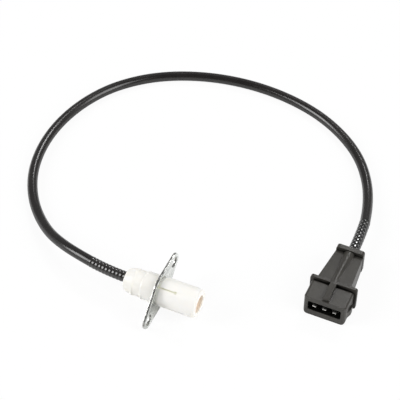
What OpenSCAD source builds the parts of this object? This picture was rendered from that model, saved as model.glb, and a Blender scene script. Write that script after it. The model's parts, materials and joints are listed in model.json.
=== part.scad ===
// Inductive crankshaft position sensor with a fixed cable and a three-way plug.
// The origin is the centre of the flange's mounting face. X runs along the barrel
// to its tip, and Z is up as the sensor lies on a bench with its cable laid out.

/* [Barrel] */
// Diameter of the barrel
barrel_d = 14.4; // [13.8:0.1:16]
// Length of the barrel from the mounting face to the tip
barrel_len = 19.7; // [18.5:0.1:24]
// Rounding of the tip's outer edge
tip_round = 1.4; // [0.4:0.1:1.8]
// Diameter of the recess in the tip
recess_d = 9; // [7:0.1:10]
// Depth of the recess in the tip
recess_depth = 2.8; // [1.5:0.1:3.2]
// Length of the moulding slit along the barrel
slit_len = 8.6; // [4:0.1:12]
// Width of the moulding slit
slit_w = 0.6; // [0.3:0.1:1]

/* [Rear boss] */
// Length from the mounting face back to the cable's entry
boss_len = 18.2; // [17:0.1:22]
// Diameter of the collar behind the flange
collar_d = 13.9; // [13.4:0.1:15]
// Diameter of the waist between collar and tail ring
waist_d = 12.8; // [12:0.1:13.2]
// Diameter of the tail ring
tail_ring_d = 13.3; // [12.8:0.1:14]
// Diameter at the rear face
tail_d = 11; // [9:0.1:12]

/* [Flange] */
// Sheet thickness
flange_t = 1.2; // [1:0.1:2]
// Distance between the two bolt holes
hole_spacing = 30.8; // [28:0.1:36]
// Diameter of the bolt holes
hole_d = 5.5; // [5:0.1:6.5]
// Radius of the rounded ends
flange_end_r = 4.5; // [4:0.1:6]
// Radius across the middle
flange_mid_r = 10; // [9:0.1:12]

/* [Coil set] */
// Diameter of the pole pin
pole_d = 5; // [4:0.1:5.4]
// Length of the spool
bobbin_len = 11; // [9:0.1:12]
// Diameter of the magnet
magnet_d = 8; // [6:0.1:8.4]
// Length of the magnet
magnet_len = 7; // [5:0.1:8]

/* [Cable] */
// Outer diameter of the jacket
cable_d = 5.2; // [4.6:0.1:5.4]
// Length of the ribbed sleeve at the head
relief_len = 20; // [12:1:24]
// Length of the ribbed sleeve at the plug
plug_relief_len = 24.5; // [16:0.5:28]
// Number of ribs on each sleeve
relief_ribs = 11; // [5:1:12]

/* [Plug] */
// Length from the mouth to the rear collar's back
plug_len = 36.2; // [35:0.1:42]
// Width of the shroud
shroud_w = 21; // [20.4:0.1:22]
// Height of the shroud
shroud_h = 12.3; // [11.8:0.1:12.8]
// Distance from the mouth to the collar
shroud_len = 11.5; // [11:0.1:13]
// Width of the collar
plug_collar_w = 23.4; // [22.8:0.1:25]
// Height of the collar
plug_collar_h = 13.8; // [13.4:0.1:15]
// Width of the socket in the shroud
socket_w = 16.5; // [16:0.1:17]
// Height of the socket in the shroud
socket_h = 6; // [5:0.1:6.4]
// Distance between neighbouring tabs
tab_pitch = 5; // [4.8:0.1:5.2]
// Width of a tab
tab_w = 2.8; // [2:0.1:3]

/* [Hidden] */

$fn = 64;
// Lap between joined bodies, and how far a cut runs past a face
eps = 0.01;
cut = 1;

// Colours
ivory = [0.95, 0.93, 0.88];
zinc = [0.72, 0.73, 0.74];
iron = [0.45, 0.45, 0.47];
magnet_grey = [0.3, 0.3, 0.32];
spool_black = [0.12, 0.12, 0.13];
copper = [0.72, 0.4, 0.2];
tin = [0.78, 0.78, 0.8];
jacket_black = [0.05, 0.05, 0.05];
core_grey = [0.25, 0.25, 0.26];
plug_grey = [0.2, 0.2, 0.2];
carrier_black = [0.06, 0.06, 0.06];
wire_colours = ["white", "saddlebrown", "dimgray"];

// Head: lengths along X and radii
barrel_r = barrel_d / 2;
barrel_root = 1;
barrel_root_r = barrel_r - 0.6;
collar_len = 7.7;
waist_len = 4.1;
ring_land = 0.6;
edge = 0.4;
neck_r = 6;
key_w = 2.4;
key_span = 13.4;
sink_r = barrel_r + 0.3;
sink_depth = 0.75;
sink_slope = (sink_r - neck_r) / sink_depth;
slit_depth = 0.7;
slit_roll = 27;
pocket = 1.2;
recess_floor = barrel_len - recess_depth;

// The flange lies on one straight edge, which sets its roll about X and the bench height
flange_roll = asin((flange_mid_r - flange_end_r) / (hole_spacing / 2));
bench_z = -flange_mid_r;

// Coil set, from the tip backwards
tip_wall = 1.7;
pole_head_r = 4;
pole_head_t = 1.2;
spool_r = 3.2;
cheek_r = 6;
front_cheek_t = 1;
rear_cheek_t = 1.6;
winding_r = 5.6;
bobbin_front = recess_floor - tip_wall;
bobbin_rear = bobbin_front - bobbin_len;
magnet_front = bobbin_rear - pole_head_t;
magnet_rear = magnet_front - magnet_len;

// Terminals, sleeves and wires of the head, on both sides of the axis in Y
pin_r = 0.45;
pin_y = 5;
pin_seat = 1.2;
sleeve_r = 0.9;
sleeve_len = 4;
sleeve_front = magnet_rear + 0.4;
sleeve_rear = sleeve_front - sleeve_len;
joint_x = sleeve_front - sleeve_len / 2;
wire_r = 0.65;
wire_y = 0.95;
core_r = 2;
core_depth = 5;
core_face = -boss_len + core_depth;
exit_rise = 0.9;

// Ribbed sleeves, which grip the core: their radii, then bend and dip of each in degrees
gripped_r = core_r - 0.1;
rib_r = cable_d / 2 + 0.12;
groove_r = cable_d / 2 - 0.1;
rib_share = 0.55;
head_bend = 11;
head_dip = 5;
plug_bend = 7;
plug_dip = 30;
head_bend_r = relief_len / (head_bend * PI / 180);
plug_bend_r = plug_relief_len / (plug_bend * PI / 180);

// Plug: place on the bench, then its own sizes from the mouth backwards and from the bench up
plug_x = 73;
mouth_y = 23.3;
contact_h = 6.5;
plug_collar_t = 1.5;
shroud_low_round = 2.2;
shroud_top_round = 1.2;
mouth_round = 1.5;
collar_round = 1.4;
foot_groove_w = 0.9;
foot_groove_d = 1;
socket_round = 0.9;
socket_depth = 9;
carrier_len = 4;
rear_collar_w = 13.9;
rear_collar_h = 13.4;
rear_collar_t = 2.4;
grip_front_w = 16.8;
grip_rear_w = 13.4;
grip_front_low = 0.4;
grip_rear_low = 1.6;
grip_rear_h = 11.1;
ridge_front_r = 1.6;
ridge_rear_r = 2.9;
ridge_rise = 0.4;
key_rib_w = 3.1;
key_rib_start = 0.9;
key_rib_h = 13.4;
key_rib_end = 20;
nose_start = 2.6;
nose_peak = 5.4;
nose_land = 7.4;
nose_end = 8.4;
nose_out = 1;
nose_low = 2.8;
nose_high = 6.6;
seat_r = 0.8;
seat_out = 0.2;
seat_inset = 0.6;
tab_t = 0.8;
tab_tip = 0.2;
tab_taper = 1.4;
tab_tip_w = 1.6;
tab_tip_t = 0.3;
tab_bevel = 0.6;
shoulder_w = 3.6;
shoulder_len = 1.2;
tang_w = 1.8;
tang_len = 0.8;
barrel_out_r = 0.95;
barrel_in_r = 0.45;
crimp_len = 4;
crimp_seat = 0.6;
plug_wire_r = 0.55;
plug_wire_u = 1.3;
plug_core_len = 7.2;
carrier_back = socket_depth + carrier_len;
crimp_front = carrier_back + shoulder_len + tang_len;
crimp_back = crimp_front + crimp_len;
plug_core_face = plug_len - plug_core_len;
grip_start = shroud_len + plug_collar_t;
grip_end = plug_len - rear_collar_t;

// Points on an arc, from angle a0 to a1
function arc(centre, r, a0, a1, steps) =
    [for (i = [0:steps]) let (a = a0 + (a1 - a0) * i / steps) centre + r * [cos(a), sin(a)]];

// Rectangle standing on y = 0 with rounded corners, low and top radii apart
function standing_rect(w, h, low_r, top_r, steps = 6) = concat(
    arc([w / 2 - low_r, low_r], low_r, -90, 0, steps),
    arc([w / 2 - top_r, h - top_r], top_r, 0, 90, steps),
    arc([top_r - w / 2, h - top_r], top_r, 90, 180, steps),
    arc([low_r - w / 2, low_r], low_r, 180, 270, steps)
);

function unit(v) = v / norm(v);

// Ends of the ribbed sleeves, where the jacket begins and ends
head_start = [
    -boss_len - head_bend_r * sin(head_bend),
    head_bend_r * (1 - cos(head_bend)) * cos(head_dip),
    exit_rise - head_bend_r * (1 - cos(head_bend)) * sin(head_dip)
];
head_dir = [-cos(head_bend), sin(head_bend) * cos(head_dip), -sin(head_bend) * sin(head_dip)];
plug_axis_z = bench_z + contact_h;
plug_back_y = mouth_y + plug_len;
plug_end = [
    plug_x - plug_bend_r * (1 - cos(plug_bend)) * cos(plug_dip),
    plug_back_y + plug_bend_r * sin(plug_bend),
    plug_axis_z - plug_bend_r * (1 - cos(plug_bend)) * sin(plug_dip)
];
plug_dir = [sin(plug_bend) * cos(plug_dip), -cos(plug_bend), sin(plug_bend) * sin(plug_dip)];

// Route of the cable on the bench: down from the head, round the loop and up to the plug
lie_z = bench_z + cable_d / 2;
cable_route = [
    [-48, 4, 0.4], [-58, 8, -1.8], [-68, 13.5, -4.2], [-77, 21, -6.5], [-85, 29, lie_z],
    [-91.5, 38, lie_z], [-96.5, 47.5, lie_z], [-100, 58, lie_z], [-102, 69, lie_z],
    [-102.5, 80, lie_z], [-101.5, 91, lie_z], [-99, 102, lie_z], [-95, 112.5, lie_z],
    [-89.5, 122.5, lie_z], [-82, 131.5, lie_z], [-73, 139.5, lie_z], [-62.5, 146, lie_z],
    [-51, 151, lie_z], [-39, 154.5, lie_z], [-26.5, 156.5, lie_z], [-14, 157, lie_z],
    [-1.5, 156, lie_z], [11, 153.5, lie_z], [23, 149.5, lie_z], [34.5, 143.5, lie_z],
    [45, 136, lie_z], [54, 127, lie_z], [61, 116.5, lie_z], [66.5, 105, lie_z],
    [70, 92.5, -6]
];
cable_path = concat([head_start], cable_route, [plug_end]);
cable_sides = 12;

function path_dir(i) =
    i == 0 ? head_dir :
    i == len(cable_path) - 1 ? plug_dir :
    unit(unit(cable_path[i + 1] - cable_path[i]) + unit(cable_path[i] - cable_path[i - 1]));

function cable_ring(i) =
    let (t = path_dir(i), side = unit(cross(t, [0, 0, 1])), up = cross(side, t))
    [for (k = [0:cable_sides - 1]) let (a = 360 * k / cable_sides)
        cable_path[i] + cable_d / 2 * (cos(a) * side + sin(a) * up)];

// Turns a body made along Z so that it runs along X
module along_x() rotate([0, 90, 0]) children();

// Round bar along X from x0 to x1
module bar_x(x0, x1, r) translate([x0, 0, 0]) along_x() cylinder(h = x1 - x0, r = r);

// Outline in X and Z, drawn out along Y from y0 to y1
module along_y(y0, y1) translate([0, y1, 0]) rotate([90, 0, 0]) linear_extrude(y1 - y0) children();

// Outline in Y and Z, drawn out across X to both sides
module across_x(w) rotate([90, 0, 90]) linear_extrude(w, center = true) children();

module plug_place() translate([plug_x, mouth_y, bench_z]) children();

// Section swept on an arc that starts along X and turns towards Y, from angle a0 to a1
module arc_sweep(bend_r, a0, a1)
    translate([0, bend_r, 0])
        rotate([0, 0, a0 - 90])
            rotate_extrude(angle = a1 - a0, $fn = 96)
                translate([bend_r, 0]) children();

// Wire that leans sideways in Y on its way along X, with its ends cut square to X
module leaning_wire(run, shift, r) {
    lean = atan(shift / run);
    intersection() {
        rotate([0, 0, lean]) bar_x(-2 * r, run / cos(lean) + 2 * r, r);
        translate([0, -2 * r, -2 * r]) cube([run, shift + 4 * r, 4 * r]);
    }
}

module head_relief_place()
    translate([-boss_len, 0, exit_rise]) rotate([-head_dip, 0, 0]) mirror([1, 0, 0]) children();

module plug_relief_place()
    translate([plug_x, plug_back_y, plug_axis_z]) rotate([0, -plug_dip, 0]) rotate([0, 0, 90]) children();

// Ribbed sleeve round the cable's core, with a rib at each end
module ribbed_sleeve(bend_r, bend) {
    pitch = bend / (relief_ribs - 1 + rib_share);
    difference() {
        union() {
            arc_sweep(bend_r, 0, bend) circle(groove_r);
            for (i = [0:relief_ribs - 1])
                arc_sweep(bend_r, i * pitch, (i + rib_share) * pitch) circle(rib_r);
        }
        arc_sweep(bend_r, -cut, bend + cut) circle(gripped_r);
    }
}

// Outline of the flange: two round ends, a round middle and four straight edges
module flange_outline() {
    half = hole_spacing / 2;
    b = flange_roll;
    polygon(concat(
        arc([half, 0], flange_end_r, b - 90, 90 - b, 24),
        arc([0, 0], flange_mid_r, 90 - b, 90 + b, 8),
        arc([-half, 0], flange_end_r, 90 + b, 270 - b, 24),
        arc([0, 0], flange_mid_r, 270 - b, 270 + b, 8)
    ));
}

// Neck of the housing in the flange's centre hole, with keys that stop it turning
module flange_neck(over = 0)
    rotate([flange_roll, 0, 0]) {
        bar_x(-flange_t - over, over, neck_r);
        translate([-flange_t - over, -key_w / 2, -key_span / 2])
            cube([flange_t + 2 * over, key_w, key_span]);
    }

// Countersink in the flange's mounting face, where the root of the barrel seats
module flange_sink() {
    depth = sink_depth + cut;
    translate([-sink_depth, 0, 0])
        along_x() cylinder(h = depth, r1 = neck_r, r2 = neck_r + depth * sink_slope);
}

// Half section of the housing without its inner pieces: radius, then X
module housing_profile() {
    tail_x = -flange_t - collar_len - waist_len;
    polygon(concat(
        [
            [0, -boss_len],
            [tail_d / 2 - edge, -boss_len],
            [tail_d / 2, -boss_len + edge],
            [tail_ring_d / 2, tail_x - ring_land],
            [tail_ring_d / 2, tail_x],
            [waist_d / 2, tail_x + edge],
            [waist_d / 2, -flange_t - collar_len],
            [collar_d / 2 - edge, -flange_t - collar_len],
            [collar_d / 2, -flange_t - collar_len + edge],
            [collar_d / 2, -flange_t],
            [neck_r, -flange_t],
            [neck_r, -sink_depth],
            [barrel_root_r, (barrel_root_r - neck_r) / sink_slope - sink_depth],
            [barrel_root_r, 0],
            [barrel_r, barrel_root]
        ],
        arc([barrel_r - tip_round, barrel_len - tip_round], tip_round, 0, 90, 8),
        [
            [recess_d / 2 + edge, barrel_len],
            [recess_d / 2, barrel_len - edge],
            [recess_d / 2, recess_floor],
            [0, recess_floor]
        ]
    ));
}

// Slit along the top of the barrel with a square pocket at its end
module barrel_slit()
    rotate([slit_roll, 0, 0]) {
        translate([0, -slit_w / 2, barrel_r - slit_depth]) cube([slit_len, slit_w, barrel_r]);
        translate([slit_len - pocket / 2, -pocket / 2, barrel_r - slit_depth])
            cube([pocket, pocket, barrel_r]);
    }

// What the housing is moulded round
module head_insert() {
    bar_x(bobbin_front, recess_floor + eps, pole_d / 2);
    bar_x(bobbin_front - front_cheek_t, bobbin_front, cheek_r);
    bar_x(bobbin_rear + rear_cheek_t, bobbin_front - front_cheek_t, winding_r);
    bar_x(bobbin_rear, bobbin_rear + rear_cheek_t, cheek_r);
    bar_x(magnet_front, bobbin_rear, pole_head_r);
    bar_x(magnet_rear, magnet_front, magnet_d / 2);
    for (side = [-1, 1]) {
        translate([0, side * pin_y, 0]) {
            bar_x(sleeve_front, bobbin_rear, pin_r);
            bar_x(sleeve_rear, sleeve_front, sleeve_r);
        }
        head_wire(side);
    }
    head_core_bar(eps);
}

// Straight part of the cable's core inside the boss
module head_core_bar(over = 0) translate([0, 0, exit_rise]) bar_x(-boss_len - over, core_face, core_r);

// Insulated wire from the cable's core out to a crimp sleeve
module head_wire(side)
    translate([core_face, side * wire_y, 0])
        mirror([0, side < 0 ? 1 : 0, 0])
            leaning_wire(sleeve_rear - core_face, pin_y - wire_y, wire_r);

module sensor_housing() color(ivory)
    difference() {
        union() {
            along_x() rotate_extrude() housing_profile();
            flange_neck();
        }
        barrel_slit();
        head_insert();
    }

module mounting_flange() color(zinc)
    difference() {
        rotate([flange_roll, 0, 0])
            translate([-flange_t, 0, 0]) rotate([90, 0, 90]) linear_extrude(flange_t) flange_outline();
        flange_neck(cut);
        flange_sink();
        rotate([flange_roll, 0, 0])
            for (side = [-1, 1])
                translate([0, side * hole_spacing / 2, 0]) bar_x(-flange_t - cut, cut, hole_d / 2);
    }

module pole_piece() color(iron) {
    bar_x(bobbin_rear - eps, recess_floor, pole_d / 2);
    bar_x(magnet_front, bobbin_rear, pole_head_r);
}

module magnet() color(magnet_grey) bar_x(magnet_rear, magnet_front, magnet_d / 2);

module coil_bobbin() color(spool_black)
    difference() {
        union() {
            bar_x(bobbin_rear, bobbin_front, spool_r);
            bar_x(bobbin_rear, bobbin_rear + rear_cheek_t, cheek_r);
            bar_x(bobbin_front - front_cheek_t, bobbin_front, cheek_r);
        }
        bar_x(bobbin_rear - cut, bobbin_front + cut, pole_d / 2);
        for (side = [-1, 1])
            translate([0, side * pin_y, 0]) bar_x(bobbin_rear - cut, bobbin_rear + pin_seat, pin_r);
    }

module coil_winding() color(copper)
    difference() {
        bar_x(bobbin_rear + rear_cheek_t, bobbin_front - front_cheek_t, winding_r);
        bar_x(bobbin_rear, bobbin_front, spool_r);
    }

module coil_terminal(side) color(tin)
    translate([0, side * pin_y, 0]) bar_x(joint_x, bobbin_rear + pin_seat, pin_r);

module crimp_sleeve(side) color(tin)
    translate([0, side * pin_y, 0])
        difference() {
            bar_x(sleeve_rear, sleeve_front, sleeve_r);
            bar_x(sleeve_rear - cut, sleeve_front + cut, pin_r);
        }

module signal_wire(side) color(wire_colours[side < 0 ? 0 : 1]) {
    head_wire(side);
    translate([0, side * pin_y, 0]) bar_x(sleeve_rear - eps, joint_x, pin_r);
}

module head_cable_core() color(core_grey) {
    head_core_bar();
    head_relief_place() arc_sweep(head_bend_r, 0, head_bend) circle(gripped_r);
}

module head_bend_relief() color(jacket_black)
    head_relief_place() ribbed_sleeve(head_bend_r, head_bend);

module cable_jacket() color(jacket_black) {
    rings = len(cable_path);
    n = cable_sides;
    polyhedron(
        points = [for (i = [0:rings - 1]) each cable_ring(i)],
        faces = concat(
            [[for (k = [0:n - 1]) k]],
            [for (i = [0:rings - 2]) for (k = [0:n - 1])
                let (m = (k + 1) % n) [i * n + k, (i + 1) * n + k, (i + 1) * n + m, i * n + m]],
            [[for (k = [0:n - 1]) rings * n - 1 - k]]
        )
    );
}

module plug_bend_relief() color(jacket_black)
    plug_relief_place() ribbed_sleeve(plug_bend_r, plug_bend);

module plug_cable_core() color(core_grey) {
    plug_place() translate([0, 0, contact_h]) plug_core_bar();
    plug_relief_place() arc_sweep(plug_bend_r, 0, plug_bend) circle(gripped_r);
}

// Straight part of the cable's core inside the plug
module plug_core_bar(over = 0)
    translate([0, plug_core_face, 0]) rotate([-90, 0, 0]) cylinder(h = plug_core_len + over, r = core_r);

// Tapered grip between the two collars: plan and side outlines crossed
module plug_grip() {
    lap = plug_collar_t / 2;
    intersection() {
        linear_extrude(plug_collar_h)
            polygon([
                [-grip_front_w / 2, grip_start - lap], [grip_front_w / 2, grip_start - lap],
                [grip_rear_w / 2, grip_end + lap], [-grip_rear_w / 2, grip_end + lap]
            ]);
        across_x(grip_front_w + 2)
            polygon([
                [grip_start - lap, grip_front_low], [grip_end + lap, grip_rear_low],
                [grip_end + lap, grip_rear_h], [grip_start - lap, plug_collar_h]
            ]);
    }
}

// Tapered ridge over the cable's duct, low at the collar and full at the rear
module plug_ridge() {
    front_h = plug_collar_h - ridge_front_r + ridge_rise;
    rear_h = rear_collar_h - ridge_rear_r - ridge_rise;
    run = grip_end - shroud_len;
    fall = atan((front_h - rear_h) / run);
    translate([0, shroud_len + ridge_rise, front_h])
        rotate([-90 - fall, 0, 0]) cylinder(h = run / cos(fall), r1 = ridge_front_r, r2 = ridge_rear_r);
}

// Key on top of the shroud, running back over the collar into the ridge
module plug_key()
    across_x(key_rib_w)
        polygon([
            [key_rib_start, socket_h], [key_rib_end, socket_h], [key_rib_end, plug_collar_h - 2 * ridge_rise],
            [shroud_len, plug_collar_h + ridge_rise], [key_rib_start, key_rib_h]
        ]);

// Shroud round the tabs, its side walls rounded in towards the mouth
module plug_shroud() {
    half = shroud_w / 2;
    intersection() {
        along_y(0, shroud_len)
            polygon(standing_rect(shroud_w, shroud_h, shroud_low_round, shroud_top_round));
        linear_extrude(shroud_h)
            polygon(concat(
                [[half, shroud_len], [-half, shroud_len]],
                arc([mouth_round - half, mouth_round], mouth_round, 180, 270, 6),
                arc([half - mouth_round, mouth_round], mouth_round, 270, 360, 6)
            ));
    }
}

// Latch noses on both sides, with a ramp in front and a round seat behind
module latch_noses() {
    wall = shroud_w / 2;
    for (side = [0, 1])
        mirror([side, 0, 0])
            translate([0, 0, nose_low])
                linear_extrude(nose_high - nose_low)
                    polygon([
                        [wall - nose_out, nose_start], [wall, nose_start], [wall + nose_out, nose_peak],
                        [wall + nose_out, nose_land], [wall, nose_end], [wall - nose_out, nose_end]
                    ]);
}

module latch_seats()
    for (side = [-1, 1])
        translate([side * (shroud_w / 2 + seat_out), nose_end + seat_r, nose_low + seat_inset])
            cylinder(h = nose_high - nose_low - 2 * seat_inset, r = seat_r, $fn = 24);

// Groove at the collar's foot, across the top and down both sides
module foot_groove()
    along_y(shroud_len - foot_groove_w, shroud_len)
        difference() {
            translate([-shroud_w, foot_groove_d]) square([2 * shroud_w, 2 * shroud_h]);
            polygon(standing_rect(shroud_w - 2 * foot_groove_d, shroud_h - foot_groove_d,
                shroud_low_round, shroud_top_round));
        }

// Socket outline, also the carrier's
module socket_outline()
    translate([0, contact_h - socket_h / 2])
        polygon(standing_rect(socket_w, socket_h, socket_round, socket_round, 4));

// Flat part of a contact: tapered tip, tab, shoulders behind the carrier and a tang
module contact_flat() {
    half = tab_w / 2;
    translate([0, 0, contact_h])
        intersection() {
            linear_extrude(tab_t + 1, center = true)
                polygon([
                    [-tab_tip_w / 2, tab_tip], [tab_tip_w / 2, tab_tip],
                    [half, tab_tip + tab_taper], [half, carrier_back],
                    [shoulder_w / 2, carrier_back], [shoulder_w / 2, carrier_back + shoulder_len],
                    [tang_w / 2, carrier_back + shoulder_len], [tang_w / 2, crimp_front + crimp_seat],
                    [-tang_w / 2, crimp_front + crimp_seat], [-tang_w / 2, carrier_back + shoulder_len],
                    [-shoulder_w / 2, carrier_back + shoulder_len], [-shoulder_w / 2, carrier_back],
                    [-half, carrier_back], [-half, tab_tip + tab_taper]
                ]);
            across_x(shoulder_w + 2)
                polygon([
                    [tab_tip, -tab_tip_t / 2], [tab_tip + tab_bevel, -tab_t / 2], [crimp_back, -tab_t / 2],
                    [crimp_back, tab_t / 2], [tab_tip + tab_bevel, tab_t / 2], [tab_tip, tab_tip_t / 2]
                ]);
        }
}

// Round bar inside the plug, at the contacts' height
module plug_bar(y0, y1, r)
    translate([0, y0, contact_h]) rotate([-90, 0, 0]) cylinder(h = y1 - y0, r = r, $fn = 32);

// Insulated wire from the cable's core to a crimp
module plug_wire_bend(row) {
    run = plug_core_face - crimp_back;
    translate([row * tab_pitch, crimp_back, contact_h])
        mirror([row < 0 ? 1 : 0, 0, 0])
            rotate([0, 0, 90])
                leaning_wire(run, abs(row) * (tab_pitch - plug_wire_u), plug_wire_r);
}

module plug_body() color(plug_grey) plug_place()
    difference() {
        union() {
            difference() {
                union() {
                    plug_shroud();
                    latch_noses();
                }
                foot_groove();
                latch_seats();
            }
            along_y(shroud_len, grip_start)
                polygon(standing_rect(plug_collar_w, plug_collar_h, collar_round, collar_round));
            plug_grip();
            along_y(grip_end, plug_len)
                polygon(standing_rect(rear_collar_w, rear_collar_h, collar_round, collar_round));
            plug_ridge();
            plug_key();
        }
        along_y(-cut, carrier_back) socket_outline();
        for (row = [-1:1]) {
            translate([row * tab_pitch, 0, 0]) {
                contact_flat();
                plug_bar(crimp_front, crimp_back, barrel_out_r);
            }
            plug_wire_bend(row);
        }
        translate([0, 0, contact_h]) plug_core_bar(cut);
    }

module contact_carrier() color(carrier_black) plug_place()
    difference() {
        along_y(socket_depth, carrier_back) socket_outline();
        for (row = [-1:1]) translate([row * tab_pitch, 0, 0]) contact_flat();
    }

module contact_blade(row) color(tin) plug_place()
    translate([row * tab_pitch, 0, 0]) {
        contact_flat();
        difference() {
            plug_bar(crimp_front, crimp_back, barrel_out_r);
            plug_bar(crimp_front + crimp_seat, crimp_back + cut, barrel_in_r);
        }
    }

module plug_wire(row) color(wire_colours[row + 1]) plug_place() {
    plug_wire_bend(row);
    translate([row * tab_pitch, 0, 0]) plug_bar(crimp_front + crimp_seat, crimp_back + eps, barrel_in_r);
}

sensor_housing();
mounting_flange();
pole_piece();
magnet();
coil_bobbin();
coil_winding();
coil_terminal(-1);  // coil_terminal_a
coil_terminal(1);  // coil_terminal_b
crimp_sleeve(-1);  // crimp_sleeve_a
crimp_sleeve(1);  // crimp_sleeve_b
signal_wire(-1);  // signal_wire_a
signal_wire(1);  // signal_wire_b
head_cable_core();
head_bend_relief();
cable_jacket();
plug_bend_relief();
plug_cable_core();
plug_body();
contact_carrier();
contact_blade(-1);  // contact_blade_1
contact_blade(0);  // contact_blade_2
contact_blade(1);  // contact_blade_3
plug_wire(-1);  // plug_wire_1
plug_wire(0);  // plug_wire_2
plug_wire(1);  // plug_wire_3
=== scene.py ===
import json
import math

import bmesh
import bpy
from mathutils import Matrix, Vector
from mathutils.bvhtree import BVHTree


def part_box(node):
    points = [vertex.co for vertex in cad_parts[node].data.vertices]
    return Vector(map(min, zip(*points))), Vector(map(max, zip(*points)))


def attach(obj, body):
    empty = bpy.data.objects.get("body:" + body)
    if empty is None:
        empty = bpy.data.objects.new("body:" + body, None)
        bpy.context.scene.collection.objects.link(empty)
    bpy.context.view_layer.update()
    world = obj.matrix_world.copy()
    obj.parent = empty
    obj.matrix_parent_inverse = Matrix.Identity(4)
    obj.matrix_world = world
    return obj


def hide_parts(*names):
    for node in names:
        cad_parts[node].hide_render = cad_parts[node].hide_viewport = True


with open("model.json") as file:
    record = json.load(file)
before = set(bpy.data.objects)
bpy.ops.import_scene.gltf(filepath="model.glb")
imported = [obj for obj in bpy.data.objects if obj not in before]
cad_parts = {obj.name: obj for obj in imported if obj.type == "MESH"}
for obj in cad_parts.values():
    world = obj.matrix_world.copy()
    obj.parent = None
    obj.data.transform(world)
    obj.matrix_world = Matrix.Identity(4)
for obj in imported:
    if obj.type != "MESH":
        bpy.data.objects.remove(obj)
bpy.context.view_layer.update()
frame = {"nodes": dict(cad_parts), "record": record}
nodes = frame["nodes"]
mounts = {mount["name"]: mount for mount in frame["record"]["mounts"]}
scene = bpy.context.scene
mm = 0.001
print("frame loaded:", len(nodes), "nodes")


# small helpers for colours, nodes and objects

noiseSpan = (0.3, 0.7)  # where most of a noise's values lie
wholeSpan = (0.0, 1.0)


def shade(red, green, blue):
    # screen colour 0..255 to the linear colour that a shader takes
    def linear(c):
        c = c / 255
        return c / 12.92 if c <= 0.04045 else ((c + 0.055) / 1.055) ** 2.4
    return (linear(red), linear(green), linear(blue), 1.0)


def grey(level):
    return (level, level, level, 1.0)


def addNode(tree, kind, settings=None, **sockets):
    node = tree.nodes.new(kind)
    for key, value in (settings or {}).items():
        setattr(node, key, value)
    for key, value in sockets.items():
        node.inputs[key.replace("_", " ")].default_value = value
    return node


def newMaterial(name, **look):
    # Principled material, its even values set straight on the shader
    material = bpy.data.materials.new(name)
    material.use_nodes = True
    tree = material.node_tree
    shader = tree.nodes["Principled BSDF"]
    for key, value in look.items():
        shader.inputs[key.replace("_", " ")].default_value = value
    return material, tree, shader


def maths(tree, operation, *values):
    # one Math node: each value is a number or a socket
    node = addNode(tree, "ShaderNodeMath", {"operation": operation})
    for socket, value in zip(node.inputs, values):
        if isinstance(value, (int, float)):
            socket.default_value = value
        else:
            tree.links.new(value, socket)
    return node.outputs[0]


def objectCoords(tree, turn=(0, 0, 0), stretch=(1, 1, 1)):
    # Object coordinates, turned and stretched
    coords = addNode(tree, "ShaderNodeTexCoord")
    mapping = addNode(tree, "ShaderNodeMapping", Rotation=turn, Scale=stretch)
    tree.links.new(coords.outputs["Object"], mapping.inputs["Vector"])
    return mapping.outputs["Vector"]


def noise(tree, coords, scale, detail=3.0):
    texture = addNode(tree, "ShaderNodeTexNoise", Scale=scale, Detail=detail, Roughness=0.55)
    tree.links.new(coords, texture.inputs["Vector"])
    return texture.outputs["Fac"]


def blendColours(tree, factor, low, high, span=noiseSpan):
    # two colours by a factor, between the factor values in span
    ramp = addNode(tree, "ShaderNodeValToRGB")
    for stop, position, colour in zip(ramp.color_ramp.elements, span, (low, high)):
        stop.position = position
        stop.color = colour
    tree.links.new(factor, ramp.inputs["Fac"])
    return ramp.outputs["Color"]


def overlay(tree, factor, below, above):
    # one colour over another: below is a socket, above is a socket or a plain colour
    node = addNode(tree, "ShaderNodeMix", {"data_type": "RGBA"})
    # the Mix node has its colour sockets at these places
    factorIn, belowIn, aboveIn = node.inputs[0], node.inputs[6], node.inputs[7]
    tree.links.new(factor, factorIn)
    tree.links.new(below, belowIn)
    if isinstance(above, tuple):
        aboveIn.default_value = above
    else:
        tree.links.new(above, aboveIn)
    return node.outputs[2]


def spread(tree, factor, low, high, span=noiseSpan):
    # a number by a factor, between the factor values in span
    node = addNode(tree, "ShaderNodeMapRange")
    for key, value in zip(("From Min", "From Max", "To Min", "To Max"), (*span, low, high)):
        node.inputs[key].default_value = value
    tree.links.new(factor, node.inputs["Value"])
    return node.outputs["Result"]


def bump(tree, shader, height, distance):
    node = addNode(tree, "ShaderNodeBump", Strength=1.0, Distance=distance)
    tree.links.new(height, node.inputs["Height"])
    tree.links.new(node.outputs["Normal"], shader.inputs["Normal"])


def attribute(tree, name):
    return addNode(tree, "ShaderNodeAttribute", {"attribute_name": name}).outputs


def keepPiece(piece, material, replaced):
    # a finished piece: its material, its body and the node that it stands for
    piece.data.materials.clear()
    piece.data.materials.append(material)
    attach(piece, "root")
    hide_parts(replaced)
    return piece


def plainMesh(obj, name):
    # the evaluated object as a plain mesh piece, its modifiers gone
    graph = bpy.context.evaluated_depsgraph_get()
    mesh = bpy.data.meshes.new_from_object(obj.evaluated_get(graph))
    mesh.name = name
    piece = bpy.data.objects.new(name, mesh)
    scene.collection.objects.link(piece)
    bpy.data.objects.remove(obj)
    return piece


# camera at the photo's viewpoint, in the part's frame

view = {
    "azimuth": 24.31,
    "elevation": 47.24,
    "target": (-11.41 * mm, 69.01 * mm, -10 * mm),
    "distance": 700 * mm,
    "lens": 123.57,
    "sensor": 36,
    "farthest": 20.0,  # metres
}


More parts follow.
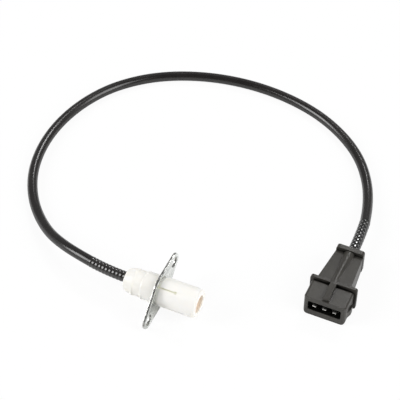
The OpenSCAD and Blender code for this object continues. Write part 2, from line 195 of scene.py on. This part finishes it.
def makeCamera():
    turn, rise = math.radians(view["azimuth"]), math.radians(view["elevation"])
    back = Vector((math.sin(turn) * math.cos(rise), -math.cos(turn) * math.cos(rise), math.sin(rise)))
    camera = bpy.data.objects.new("camera", bpy.data.cameras.new("camera"))
    camera.data.lens = view["lens"]
    camera.data.sensor_width = view["sensor"]
    camera.data.clip_end = view["farthest"]
    camera.location = Vector(view["target"]) + back * view["distance"]
    camera.rotation_euler = (-back).to_track_quat("-Z", "Y").to_euler()
    scene.collection.objects.link(camera)
    scene.camera = camera


makeCamera()
print("camera placed")


# swept tubes: one node tree sweeps the cable and both ribbed sleeves along their paths

sweepPath = {"steps": 16, "order": 4}


def makeSweepTree():
    tree = bpy.data.node_groups.new("sweptTube", "GeometryNodeTree")
    interface = tree.interface
    interface.new_socket("Path", in_out="INPUT", socket_type="NodeSocketGeometry")
    for name, kind in (
        ("Radius", "NodeSocketFloat"), ("Rib height", "NodeSocketFloat"), ("Ribs", "NodeSocketFloat"),
        ("Rib share", "NodeSocketFloat"), ("Rib shape", "NodeSocketFloat"), ("Rings", "NodeSocketInt"),
        ("Sides", "NodeSocketInt"), ("Material", "NodeSocketMaterial"),
    ):
        interface.new_socket(name, in_out="INPUT", socket_type=kind)
    interface.new_socket("Tube", in_out="OUTPUT", socket_type="NodeSocketGeometry")
    given = addNode(tree, "NodeGroupInput").outputs
    link = tree.links.new

    # the path, evenly divided, keeps its own length for the material
    path = addNode(tree, "GeometryNodeResampleCurve")
    link(given["Path"], path.inputs["Curve"])
    link(given["Rings"], path.inputs["Count"])
    along = addNode(tree, "GeometryNodeSplineParameter")
    pathMark = addNode(tree, "GeometryNodeStoreNamedAttribute", {"data_type": "FLOAT"}, Name="along")
    link(path.outputs["Curve"], pathMark.inputs["Geometry"])
    link(along.outputs["Length"], pathMark.inputs["Value"])

    # the round section keeps its own direction for the material
    section = addNode(tree, "GeometryNodeCurvePrimitiveCircle", Radius=1.0)
    link(given["Sides"], section.inputs["Resolution"])
    place = addNode(tree, "GeometryNodeInputPosition")
    vectors = {"data_type": "FLOAT_VECTOR"}
    sectionMark = addNode(tree, "GeometryNodeStoreNamedAttribute", vectors, Name="around")
    link(section.outputs["Curve"], sectionMark.inputs["Geometry"])
    link(place.outputs["Position"], sectionMark.inputs["Value"])

    # ribs from ridges to flat lands by their shape, with a rib at each end
    turns = maths(tree, "ADD", maths(tree, "SUBTRACT", given["Ribs"], 1), given["Rib share"])
    phase = maths(tree, "SUBTRACT", maths(tree, "MULTIPLY", along.outputs["Factor"], turns),
                  maths(tree, "MULTIPLY", given["Rib share"], 0.5))
    fromGroove = maths(tree, "ABSOLUTE", maths(tree, "SUBTRACT", maths(tree, "FRACT", phase), 0.5))
    fromCrest = maths(tree, "SUBTRACT", 1, maths(tree, "MULTIPLY", fromGroove, 2))
    swell = maths(tree, "SUBTRACT", 1, maths(tree, "POWER", fromCrest, given["Rib shape"]))
    size = maths(tree, "ADD", given["Radius"], maths(tree, "MULTIPLY", swell, given["Rib height"]))

    sweep = addNode(tree, "GeometryNodeCurveToMesh", Fill_Caps=True)
    link(pathMark.outputs["Geometry"], sweep.inputs["Curve"])
    link(sectionMark.outputs["Geometry"], sweep.inputs["Profile Curve"])
    link(size, sweep.inputs["Scale"])
    smooth = addNode(tree, "GeometryNodeSetShadeSmooth")
    link(sweep.outputs["Mesh"], smooth.inputs["Geometry"])
    real = addNode(tree, "GeometryNodeRealizeInstances")
    link(smooth.outputs["Geometry"], real.inputs["Geometry"])
    paint = addNode(tree, "GeometryNodeSetMaterial")
    link(real.outputs["Geometry"], paint.inputs["Geometry"])
    link(given["Material"], paint.inputs["Material"])
    result = addNode(tree, "NodeGroupOutput")
    link(paint.outputs["Geometry"], result.inputs["Tube"])
    return tree


sweepTree = makeSweepTree()


def pathCurve(name, points, kind):
    curve = bpy.data.curves.new(name, "CURVE")
    curve.dimensions = "3D"
    curve.resolution_u = sweepPath["steps"]
    spline = curve.splines.new(kind)
    spline.points.add(len(points) - 1)
    for knot, point in zip(spline.points, points):
        knot.co = (*point, 1)
    if kind == "NURBS":
        spline.order_u = sweepPath["order"]
        spline.use_endpoint_u = True
    path = bpy.data.objects.new(name, curve)
    scene.collection.objects.link(path)
    return path


def sweepTube(path, name, material, **sizes):
    modifier = path.modifiers.new("sweep", "NODES")
    modifier.node_group = sweepTree
    sizes["Material"] = material
    for item in sweepTree.interface.items_tree:
        key = item.name.replace(" ", "_")
        if item.in_out == "INPUT" and key in sizes:
            modifier[item.identifier] = sizes[key]
    return plainMesh(path, name)


# black cable compound, for the jacket and the sleeves

compound = {
    "cloud": 160,
    "grain": 90,
    "coatRoughness": 0.1,
    "lineScale": 3.0,
    "lineDetail": 2.0,
    "lineDrawn": 8.0,  # how fast the drawn lines change along the cable
    "lineDepth": 0.01 * mm,
}


def makeRubber(name, look):
    material, tree, shader = newMaterial(name, IOR=look["ior"], Coat_Weight=look["polish"],
                                         Coat_Roughness=compound["coatRoughness"])
    coords = objectCoords(tree)
    cloud = noise(tree, coords, compound["cloud"])
    base = blendColours(tree, cloud, shade(*look["dark"]), shade(*look["pale"]))
    tree.links.new(base, shader.inputs["Base Color"])
    gloss = spread(tree, noise(tree, coords, compound["grain"]), *look["gloss"])
    tree.links.new(gloss, shader.inputs["Roughness"])
    # lines of the extrusion, drawn out along the cable
    split = addNode(tree, "ShaderNodeSeparateXYZ")
    join = addNode(tree, "ShaderNodeCombineXYZ")
    tree.links.new(attribute(tree, "around")["Vector"], split.inputs["Vector"])
    tree.links.new(split.outputs["X"], join.inputs["X"])
    tree.links.new(split.outputs["Y"], join.inputs["Y"])
    drawn = maths(tree, "MULTIPLY", attribute(tree, "along")["Fac"], compound["lineDrawn"])
    tree.links.new(drawn, join.inputs["Z"])
    lines = noise(tree, join.outputs["Vector"], compound["lineScale"], compound["lineDetail"])
    bump(tree, shader, lines, compound["lineDepth"])
    return material


# ribbed sleeves at both ends of the cable

sleeve = {
    "ribs": 11.0,
    "ribShare": 0.55,
    "ribRadius": 2.74 * mm,
    "rings": 360,
    "sides": 48,
    "arcSteps": 24,
    # each arc starts along out and bends towards side, dipped towards the bench: mm and degrees
    # a rib's shape goes from 1, a ridge, to 5 and more, a flat land
    "head": {
        "from": (-18.2, 0, 0.9), "out": (-1, 0, 0), "side": (0, 1, 0),
        "length": 20, "bend": 11, "dip": 5, "ribHeight": 0.15, "ribShape": 1.25,
        "dark": (38, 36, 35), "pale": (46, 44, 43), "gloss": (0.14, 0.19), "polish": 0.2, "ior": 1.55,
    },
    "plug": {
        "from": (73, 59.5, -3.5), "out": (0, 1, 0), "side": (-1, 0, 0),
        "length": 24.5, "bend": 7, "dip": 30, "ribHeight": 0.32, "ribShape": 5.0,
        "dark": (20, 19, 19), "pale": (27, 26, 25), "gloss": (0.09, 0.14), "polish": 0.6, "ior": 1.55,
    },
}


def sleeveArc(place):
    bend, dip = math.radians(place["bend"]), math.radians(place["dip"])
    radius = place["length"] / bend
    start = Vector(place["from"])
    out = Vector(place["out"])
    side = Vector(place["side"]) * math.cos(dip) - Vector((0, 0, 1)) * math.sin(dip)
    turns = [bend * i / sleeve["arcSteps"] for i in range(sleeve["arcSteps"] + 1)]
    return [(start + radius * (out * math.sin(t) + side * (1 - math.cos(t)))) * mm for t in turns]


def makeSleeve(name, place, node):
    material = makeRubber(name + "Black", place)
    path = pathCurve(name + "Path", sleeveArc(place), "POLY")
    height = place["ribHeight"] * mm
    piece = sweepTube(path, name, material, Radius=sleeve["ribRadius"] - height, Rib_height=height,
                      Ribs=sleeve["ribs"], Rib_share=sleeve["ribShare"], Rib_shape=place["ribShape"],
                      Rings=sleeve["rings"], Sides=sleeve["sides"])
    return keepPiece(piece, material, node)


makeSleeve("headSleeve", sleeve["head"], "head_bend_relief")
plugSleeve = makeSleeve("plugSleeve", sleeve["plug"], "plug_bend_relief")
print("sleeves ribbed")


# the cable, from the head's sleeve to the plug's sleeve

cable = {
    # route on the bench in mm
    "route": (
        (-48, 4, 0.4), (-58, 8, -1.8), (-68, 13.5, -4.2), (-77, 21, -6.5), (-85, 29, -7.4),
        (-91.5, 38, -7.4), (-96.5, 47.5, -7.4), (-100, 58, -7.4), (-102, 69, -7.4),
        (-102.5, 80, -7.4), (-101.5, 91, -7.4), (-99, 102, -7.4), (-95, 112.5, -7.4),
        (-89.5, 122.5, -7.4), (-82, 131.5, -7.4), (-73, 139.5, -7.4), (-62.5, 146, -7.4),
        (-51, 151, -7.4), (-39, 154.5, -7.4), (-26.5, 156.5, -7.4), (-14, 157, -7.4),
        (-1.5, 156, -7.4), (11, 153.5, -7.4), (23, 149.5, -7.4), (34.5, 143.5, -7.4),
        (45, 136, -7.4), (54, 127, -7.4), (61, 116.5, -7.4), (66.5, 105, -7.4), (70, 92.5, -6),
    ),
    "diameter": 5.2 * mm,
    "length": 366 * mm,
    "rings": 520,
    "sides": 48,
    "dark": (25, 23, 22),
    "pale": (33, 30, 29),
    "gloss": (0.21, 0.27),
    "polish": 0.0,
    "ior": 1.55,
}


def makeCable():
    start, end = sleeveArc(sleeve["head"])[-1], sleeveArc(sleeve["plug"])[-1]
    points = [start] + [Vector(point) * mm for point in cable["route"]] + [end]
    path = pathCurve("cableRoute", points, "NURBS")
    graph = bpy.context.evaluated_depsgraph_get()
    line = bpy.data.meshes.new_from_object(path.evaluated_get(graph))
    centre = [v.co.copy() for v in line.vertices]
    material = makeRubber("cableBlack", cable)
    piece = sweepTube(path, "cable", material, Radius=cable["diameter"] / 2, Rings=cable["rings"],
                      Sides=cable["sides"])
    return keepPiece(piece, material, "cable_jacket"), centre


cablePiece, cableLine = makeCable()
print("cable swept:", len(cableLine), "points on its line")


# moulded, stamped and cut pieces: the CAD solid with its edges softened

softening = {
    "weld": 0.001 * mm,  # points nearer than this become one
    "flat": 0.5,  # flatter edges than this go, in degrees
    "sharp": 28,  # sharper edges than this are rounded
    "crease": 40,  # sharper edges than this stay sharp in the shading
}


def smoothFaces(piece):
    piece.data.shade_smooth()
    piece.data.set_sharp_from_angle(angle=math.radians(softening["crease"]))


def softened(node, name, look):
    mesh = nodes[node].data.copy()
    work = bmesh.new()
    work.from_mesh(mesh)
    bmesh.ops.remove_doubles(work, verts=work.verts, dist=softening["weld"])
    flat = math.radians(softening["flat"])
    bmesh.ops.dissolve_limit(work, angle_limit=flat, verts=work.verts, edges=work.edges)
    work.to_mesh(mesh)
    work.free()
    mesh.materials.clear()
    body = bpy.data.objects.new(name + "Cad", mesh)
    scene.collection.objects.link(body)
    bevel = body.modifiers.new("edges", "BEVEL")
    bevel.limit_method = "ANGLE"
    bevel.angle_limit = math.radians(softening["sharp"])
    bevel.width = look["edge"]
    bevel.segments = look["segments"]
    bevel.use_clamp_overlap = True
    piece = plainMesh(body, name)
    smoothFaces(piece)
    return piece


# how closed in each point of a moulding is, for the painted shade in its colour

hollowTest = {
    "passes": 7,  # most times that long edges are halved
    "rays": 20,
    "lift": 0.03 * mm,  # how far off the surface a ray starts
}


def halveLongEdges(work, longest):
    bmesh.ops.triangulate(work, faces=work.faces)
    for _ in range(hollowTest["passes"]):
        longEdges = [edge for edge in work.edges if edge.calc_length() > longest]
        if not longEdges:
            break
        bmesh.ops.subdivide_edges(work, edges=longEdges, cuts=1)
        bmesh.ops.triangulate(work, faces=[face for face in work.faces if len(face.verts) > 3])
    work.normal_update()


def rayFan(rays):
    # a fixed fan of directions round +Z, denser towards it
    golden = math.pi * (3 - math.sqrt(5))
    fan = []
    for i in range(rays):
        low = math.sqrt((i + 0.5) / rays)
        fan.append((low * math.cos(golden * i), low * math.sin(golden * i), math.sqrt(1 - low * low)))
    return fan


def closedIn(point, walls, fan, reach):
    # from 0, open, to 1, walls close by in every direction
    up = point.normal
    side = up.orthogonal().normalized()
    cross = up.cross(side)
    start = point.co + up * hollowTest["lift"]
    total = 0.0
    for x, y, z in fan:
        hit, _, _, distance = walls.ray_cast(start, side * x + cross * y + up * z, reach)
        if hit is not None:
            total += 1 - distance / reach
    return total / len(fan)


def markHollows(piece, look, socket=None):
    # a finer mesh with the attribute hollow on its points, for painted shade: all that is in the socket
    # counts as closed in, so the socket gets full painted shade
    work = bmesh.new()
    work.from_mesh(piece.data)
    halveLongEdges(work, look["longest"])
    walls = BVHTree.FromBMesh(work)
    fan = rayFan(hollowTest["rays"])
    closed = []
    for point in work.verts:
        inSocket = socket and all(low < c < high for low, c, high in zip(socket[0], point.co, socket[1]))
        closed.append(1.0 if inSocket else closedIn(point, walls, fan, look["reach"]))
    work.to_mesh(piece.data)
    work.free()
    mark = piece.data.attributes.new("hollow", "FLOAT", "POINT")
    mark.data.foreach_set("value", closed)
    smoothFaces(piece)


# housing: off-white nylon, slightly see-through, with warm painted shade where it is closed in

housing = {
    "edge": 0.15 * mm,
    "segments": 2,
    "longest": 0.9 * mm,  # longest edge of the finer mesh
    "reach": 4 * mm,  # how far off a wall still counts as closing in
    "pale": (254, 251, 245),
    "warm": (253, 249, 240),
    "cloud": 90,
    "roughness": 0.42,
    "ior": 1.5,
    "pores": 900,
    "poreDepth": 0.02 * mm,
    "glow": 0.5,
    "glowTint": (1.0, 0.96, 0.9),
    "glowDepth": 0.5 * mm,
    # painted shade: warm tint in the recess of the tip
    "recessShade": (240, 225, 208),
    "recessShadeSpan": (0.0, 0.12),
    "recess": 5 * mm,  # how far behind the tip the painted recess shade reaches
    "recessFade": 1 * mm,
    # painted shade: darker tint in the narrowest gaps, such as the slit
    "paintedShade": (224, 224, 194),
    "paintedShadeSpan": (0.35, 0.6),
}


def makeHousing():
    material, tree, shader = newMaterial(
        "ivoryNylon", Roughness=housing["roughness"], IOR=housing["ior"], Subsurface_Weight=housing["glow"],
        Subsurface_Radius=housing["glowTint"], Subsurface_Scale=housing["glowDepth"])
    coords = objectCoords(tree)
    cloud = noise(tree, coords, housing["cloud"])
    base = blendColours(tree, cloud, shade(*housing["warm"]), shade(*housing["pale"]))
    closed = attribute(tree, "hollow")["Fac"]
    # the warm painted shade stays in the recess of the tip, a darker painted shade is in the narrowest gaps,
    # such as the slit
    place = addNode(tree, "ShaderNodeSeparateXYZ")
    tree.links.new(coords, place.inputs["Vector"])
    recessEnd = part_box("sensor_housing")[1][0] - housing["recess"]
    atTip = spread(tree, place.outputs["X"], 0, 1, (recessEnd - housing["recessFade"], recessEnd))
    recessShade = maths(tree, "MULTIPLY", spread(tree, closed, 0, 1, housing["recessShadeSpan"]), atTip)
    base = overlay(tree, recessShade, base, shade(*housing["recessShade"]))
    paintedShade = spread(tree, closed, 0, 1, housing["paintedShadeSpan"])
    base = overlay(tree, paintedShade, base, shade(*housing["paintedShade"]))
    tree.links.new(base, shader.inputs["Base Color"])
    bump(tree, shader, noise(tree, coords, housing["pores"]), housing["poreDepth"])
    piece = softened("sensor_housing", "housing", housing)
    markHollows(piece, housing)
    return keepPiece(piece, material, "sensor_housing")


housingPiece = makeHousing()
print("housing moulded:", len(housingPiece.data.polygons), "faces")


# flange: stamped sheet with bright zinc plate and a sheared rim

flange = {
    "edge": 0.14 * mm,
    "segments": 2,
    "bright": (230, 232, 229),
    "dull": (210, 213, 210),
    "cloud": 220,
    "gloss": (0.2, 0.32),
    "rollTurn": 20.93,  # the flange's turn about the barrel, in degrees: the rolled grain follows it
    "rollStretch": (1, 0.12, 1),
    "rollScale": 2600,
    "rollDepth": 0.012 * mm,
    "rimSpan": (0.25, 0.6),  # how much a face looks along X, from the rim to the flat sides
    "shearDark": (138, 137, 134),
    "shearPale": (218, 219, 215),
    "shearSpan": (0.38, 0.62),
    "shearStretch": (0.15, 1, 1),
    "shearScale": 600,
    "shearDetail": 2.0,
}


def makeFlange():
    material, tree, shader = newMaterial("zincPlate", Metallic=1.0)
    cloud = noise(tree, objectCoords(tree), flange["cloud"])
    plate = blendColours(tree, cloud, shade(*flange["dull"]), shade(*flange["bright"]))
    # the rim and the hole walls carry stripes across the sheet
    facing = addNode(tree, "ShaderNodeSeparateXYZ")
    tree.links.new(addNode(tree, "ShaderNodeNewGeometry").outputs["Normal"], facing.inputs["Vector"])
    rim = spread(tree, maths(tree, "ABSOLUTE", facing.outputs["X"]), 1, 0, flange["rimSpan"])
    across = objectCoords(tree, stretch=flange["shearStretch"])
    stripes = noise(tree, across, flange["shearScale"], flange["shearDetail"])
    shear = blendColours(tree, stripes, shade(*flange["shearDark"]), shade(*flange["shearPale"]),
                         flange["shearSpan"])
    tree.links.new(overlay(tree, rim, plate, shear), shader.inputs["Base Color"])
    tree.links.new(spread(tree, cloud, *flange["gloss"]), shader.inputs["Roughness"])
    rolled = objectCoords(tree, (math.radians(flange["rollTurn"]), 0, 0), flange["rollStretch"])
    bump(tree, shader, noise(tree, rolled, flange["rollScale"]), flange["rollDepth"])
    piece = softened("mounting_flange", "flange", flange)
    keepPiece(piece, material, "mounting_flange")


makeFlange()
print("flange plated")


# plug: dark grey moulding, with dark painted shade where it is closed in and in its socket

plug = {
    "edge": 0.28 * mm,
    "segments": 4,
    "longest": 0.9 * mm,
    "reach": 7 * mm,
    "dark": (59, 57, 54),
    "pale": (66, 64, 60),
    "cloud": 130,
    "ior": 1.35,
    "gloss": (0.28, 0.36),
    "grain": 1500,
    "grainDetail": 4.0,
    "grainDepth": 0.03 * mm,
    # painted shade: near black where the moulding is closed in and in the socket
    "paintedShade": (12, 12, 11),
    "paintedShadeSpan": (0.22, 0.62),
    # the socket in the mouth, and how far behind the mouth it starts and ends
    "socketWide": 16.6 * mm,
    "socketTall": 6.2 * mm,
    "socketDeep": (0.2 * mm, 9.7 * mm),
}


def plugSocket():
    # lowest and highest corner of the socket
    x, y, z = mounts["plug_mouth"]["pos_m"]
    halfWide, halfTall = plug["socketWide"] / 2, plug["socketTall"] / 2
    front, back = plug["socketDeep"]
    return (x - halfWide, y + front, z - halfTall), (x + halfWide, y + back, z + halfTall)


def makePlug():
    material, tree, shader = newMaterial("plugGrey", IOR=plug["ior"])
    coords = objectCoords(tree)
    cloud = noise(tree, coords, plug["cloud"])
    base = blendColours(tree, cloud, shade(*plug["dark"]), shade(*plug["pale"]))
    # the painted shade darkens the colour where the moulding is closed in
    depth = spread(tree, attribute(tree, "hollow")["Fac"], 0, 1, plug["paintedShadeSpan"])
    tree.links.new(overlay(tree, depth, base, shade(*plug["paintedShade"])), shader.inputs["Base Color"])
    grain = noise(tree, coords, plug["grain"], plug["grainDetail"])
    tree.links.new(spread(tree, grain, *plug["gloss"]), shader.inputs["Roughness"])
    bump(tree, shader, grain, plug["grainDepth"])
    piece = softened("plug_body", "plugShell", plug)
    markHollows(piece, plug, plugSocket())
    return keepPiece(piece, material, "plug_body")


plugShell = makePlug()
print("plug moulded:", len(plugShell.data.polygons), "faces")


# tinned tabs in the plug

metalGrain = {"finer": 6, "depth": 0.01 * mm}  # how many times finer than the metal's cloud
tab = {
    "count": 3,
    "edge": 0.2 * mm,
    "segments": 3,
    "bright": (250, 248, 243),
    "dull": (234, 232, 228),
    "cloud": 500,
    "gloss": (0.2, 0.3),
}


def makeMetal(name, look):
    material, tree, shader = newMaterial(name, Metallic=1.0)
    coords = objectCoords(tree)
    cloud = noise(tree, coords, look["cloud"])
    base = blendColours(tree, cloud, shade(*look["dull"]), shade(*look["bright"]))
    tree.links.new(base, shader.inputs["Base Color"])
    tree.links.new(spread(tree, cloud, *look["gloss"]), shader.inputs["Roughness"])
    bump(tree, shader, noise(tree, coords, look["cloud"] * metalGrain["finer"]), metalGrain["depth"])
    return material


tinned = makeMetal("tinnedBrass", tab)
for number in range(1, tab["count"] + 1):
    node = "contact_blade_%d" % number
    keepPiece(softened(node, "tab%d" % number, tab), tinned, node)


# pieces that stay as their CAD solids, most of them sealed inside

plasticGrain = {"cloud": 300, "finer": 5, "depth": 0.02 * mm}
plastics = {
    "blackPlastic": {"dark": (12, 12, 12), "pale": (18, 18, 18), "roughness": 0.7},
    "coreGrey": {"dark": (58, 58, 60), "pale": (72, 72, 74), "roughness": 0.5},
    "wireWhite": {"dark": (222, 222, 216), "pale": (236, 236, 230), "roughness": 0.35},
    "wireBrown": {"dark": (120, 66, 30), "pale": (138, 78, 38), "roughness": 0.35},
    "wireGrey": {"dark": (100, 100, 100), "pale": (116, 116, 116), "roughness": 0.35},
}
metals = {
    "softIron": {"bright": (150, 150, 152), "dull": (112, 112, 116), "cloud": 400, "gloss": (0.32, 0.5)},
    "sinteredMagnet": {"bright": (96, 96, 100), "dull": (70, 70, 74), "cloud": 600, "gloss": (0.45, 0.6)},
}
winding = {
    "turnScale": 420,
    "dark": (120, 62, 30),
    "bright": (205, 122, 70),
    "roughness": 0.3,
    "depth": 0.08 * mm,
}
finish = {
    "blackPlastic": ("contact_carrier", "coil_bobbin"),
    "softIron": ("pole_piece",),
    "sinteredMagnet": ("magnet",),
    "copperTurns": ("coil_winding",),
    "coreGrey": ("head_cable_core", "plug_cable_core"),
    "wireWhite": ("signal_wire_a", "plug_wire_1"),
    "wireBrown": ("signal_wire_b", "plug_wire_2"),
    "wireGrey": ("plug_wire_3",),
    "tinnedBrass": ("coil_terminal_a", "coil_terminal_b", "crimp_sleeve_a", "crimp_sleeve_b"),
}


def makePlastic(name, look):
    material, tree, shader = newMaterial(name, Roughness=look["roughness"])
    coords = objectCoords(tree)
    cloud = noise(tree, coords, plasticGrain["cloud"])
    base = blendColours(tree, cloud, shade(*look["dark"]), shade(*look["pale"]))
    tree.links.new(base, shader.inputs["Base Color"])
    pores = noise(tree, coords, plasticGrain["cloud"] * plasticGrain["finer"])
    bump(tree, shader, pores, plasticGrain["depth"])
    return material


def makeCopper(name):
    # enamelled turns side by side along the barrel's axis
    material, tree, shader = newMaterial(name, Metallic=1.0, Roughness=winding["roughness"])
    bands = {"wave_type": "BANDS", "bands_direction": "X"}
    wave = addNode(tree, "ShaderNodeTexWave", bands, Scale=winding["turnScale"])
    tree.links.new(objectCoords(tree), wave.inputs["Vector"])
    turns = wave.outputs["Fac"]
    base = blendColours(tree, turns, shade(*winding["dark"]), shade(*winding["bright"]), wholeSpan)
    tree.links.new(base, shader.inputs["Base Color"])
    bump(tree, shader, turns, winding["depth"])
    return material


inner = {"tinnedBrass": tinned, "copperTurns": makeCopper("copperTurns")}
for name, look in plastics.items():
    inner[name] = makePlastic(name, look)
for name, look in metals.items():
    inner[name] = makeMetal(name, look)
for name, finished in finish.items():
    for node in finished:
        nodes[node].data.materials.clear()
        nodes[node].data.materials.append(inner[name])
print("inner pieces finished:", sum(len(finished) for finished in finish.values()))


# bench, sky and lamps

bench = {
    "size": 12.0,  # metres
    "height": -10 * mm,
    "white": (253, 253, 253),
    "roughness": 0.9,
    "seenLift": 0.92,  # how far towards white, seen directly
    "mirrorLift": 0.12,  # and in a mirror
}
sky = {
    "horizon": 0.6,
    "zenith": 0.1,
    "behind": 0.34,
    "heights": (0.05, 0.4),  # sine of the height, from the horizon's light to the zenith's
    "turn": (-0.1, 0.35),  # along Y, from the front to the light behind
}
lamps = {
    # direction towards the lamp: compass angle from +X and height above the bench, in degrees
    "right": {"compass": -5, "height": 35.5, "wide": 30, "tall": 42, "power": 26.5},
    "left": {"compass": 212, "height": 34, "wide": 26, "tall": 32, "power": 26.0},
    "strip": {"compass": 88, "height": 48.5, "wide": 16, "tall": 5, "power": 8.0},
}
lampDistance = 2.0  # metres


def makeBench():
    half = bench["size"] / 2
    corners = [(x * half, y * half, bench["height"]) for x, y in ((-1, -1), (1, -1), (1, 1), (-1, 1))]
    mesh = bpy.data.meshes.new("bench")
    mesh.from_pydata(corners, [], [(0, 1, 2, 3)])
    plate = bpy.data.objects.new("bench", mesh)
    scene.collection.objects.link(plate)
    material, tree, shader = newMaterial("paleBench", Base_Color=shade(*bench["white"]),
                                         Roughness=bench["roughness"], Specular_IOR_Level=0.0)
    # seen directly or in a mirror the bench is lifted towards white, and it keeps the shadow
    rays = addNode(tree, "ShaderNodeLightPath").outputs
    seen = maths(tree, "MULTIPLY", rays["Is Camera Ray"], bench["seenLift"])
    mirrored = maths(tree, "MAXIMUM", rays["Is Glossy Ray"], rays["Is Transmission Ray"])
    lift = maths(tree, "MAXIMUM", seen, maths(tree, "MULTIPLY", mirrored, bench["mirrorLift"]))
    glow = addNode(tree, "ShaderNodeEmission", Strength=1.0)
    mix = addNode(tree, "ShaderNodeMixShader")
    tree.links.new(lift, mix.inputs["Fac"])
    tree.links.new(shader.outputs["BSDF"], mix.inputs[1])
    tree.links.new(glow.outputs["Emission"], mix.inputs[2])
    tree.links.new(mix.outputs["Shader"], tree.nodes["Material Output"].inputs["Surface"])
    mesh.materials.append(material)


def makeSky():
    world = bpy.data.worlds.new("sky")
    world.use_nodes = True
    scene.world = world
    tree = world.node_tree
    coords = addNode(tree, "ShaderNodeTexCoord")
    split = addNode(tree, "ShaderNodeSeparateXYZ")
    tree.links.new(coords.outputs["Generated"], split.inputs["Vector"])
    front = blendColours(tree, split.outputs["Z"], grey(sky["horizon"]), grey(sky["zenith"]), sky["heights"])
    # behind the object the light is even all the way up
    turned = spread(tree, split.outputs["Y"], 0, 1, sky["turn"])
    glow = overlay(tree, turned, front, grey(sky["behind"]))
    tree.links.new(glow, tree.nodes["Background"].inputs["Color"])


def makeLamp(name, lamp):
    compass, height = math.radians(lamp["compass"]), math.radians(lamp["height"])
    level = math.cos(height)
    towards = Vector((math.cos(compass) * level, math.sin(compass) * level, math.sin(height)))
    light = bpy.data.lights.new(name, "AREA")
    light.shape = "RECTANGLE"
    light.size = 2 * lampDistance * math.tan(math.radians(lamp["wide"] / 2))
    light.size_y = 2 * lampDistance * math.tan(math.radians(lamp["tall"] / 2))
    light.energy = lamp["power"]
    shining = bpy.data.objects.new(name, light)
    shining.location = Vector(view["target"]) + towards * lampDistance
    shining.rotation_euler = towards.to_track_quat("Z", "Y").to_euler()
    scene.collection.objects.link(shining)


makeBench()
makeSky()
for name, lamp in lamps.items():
    makeLamp(name, lamp)
scene.view_settings.view_transform = "Standard"
print("bench, sky and lamps set")
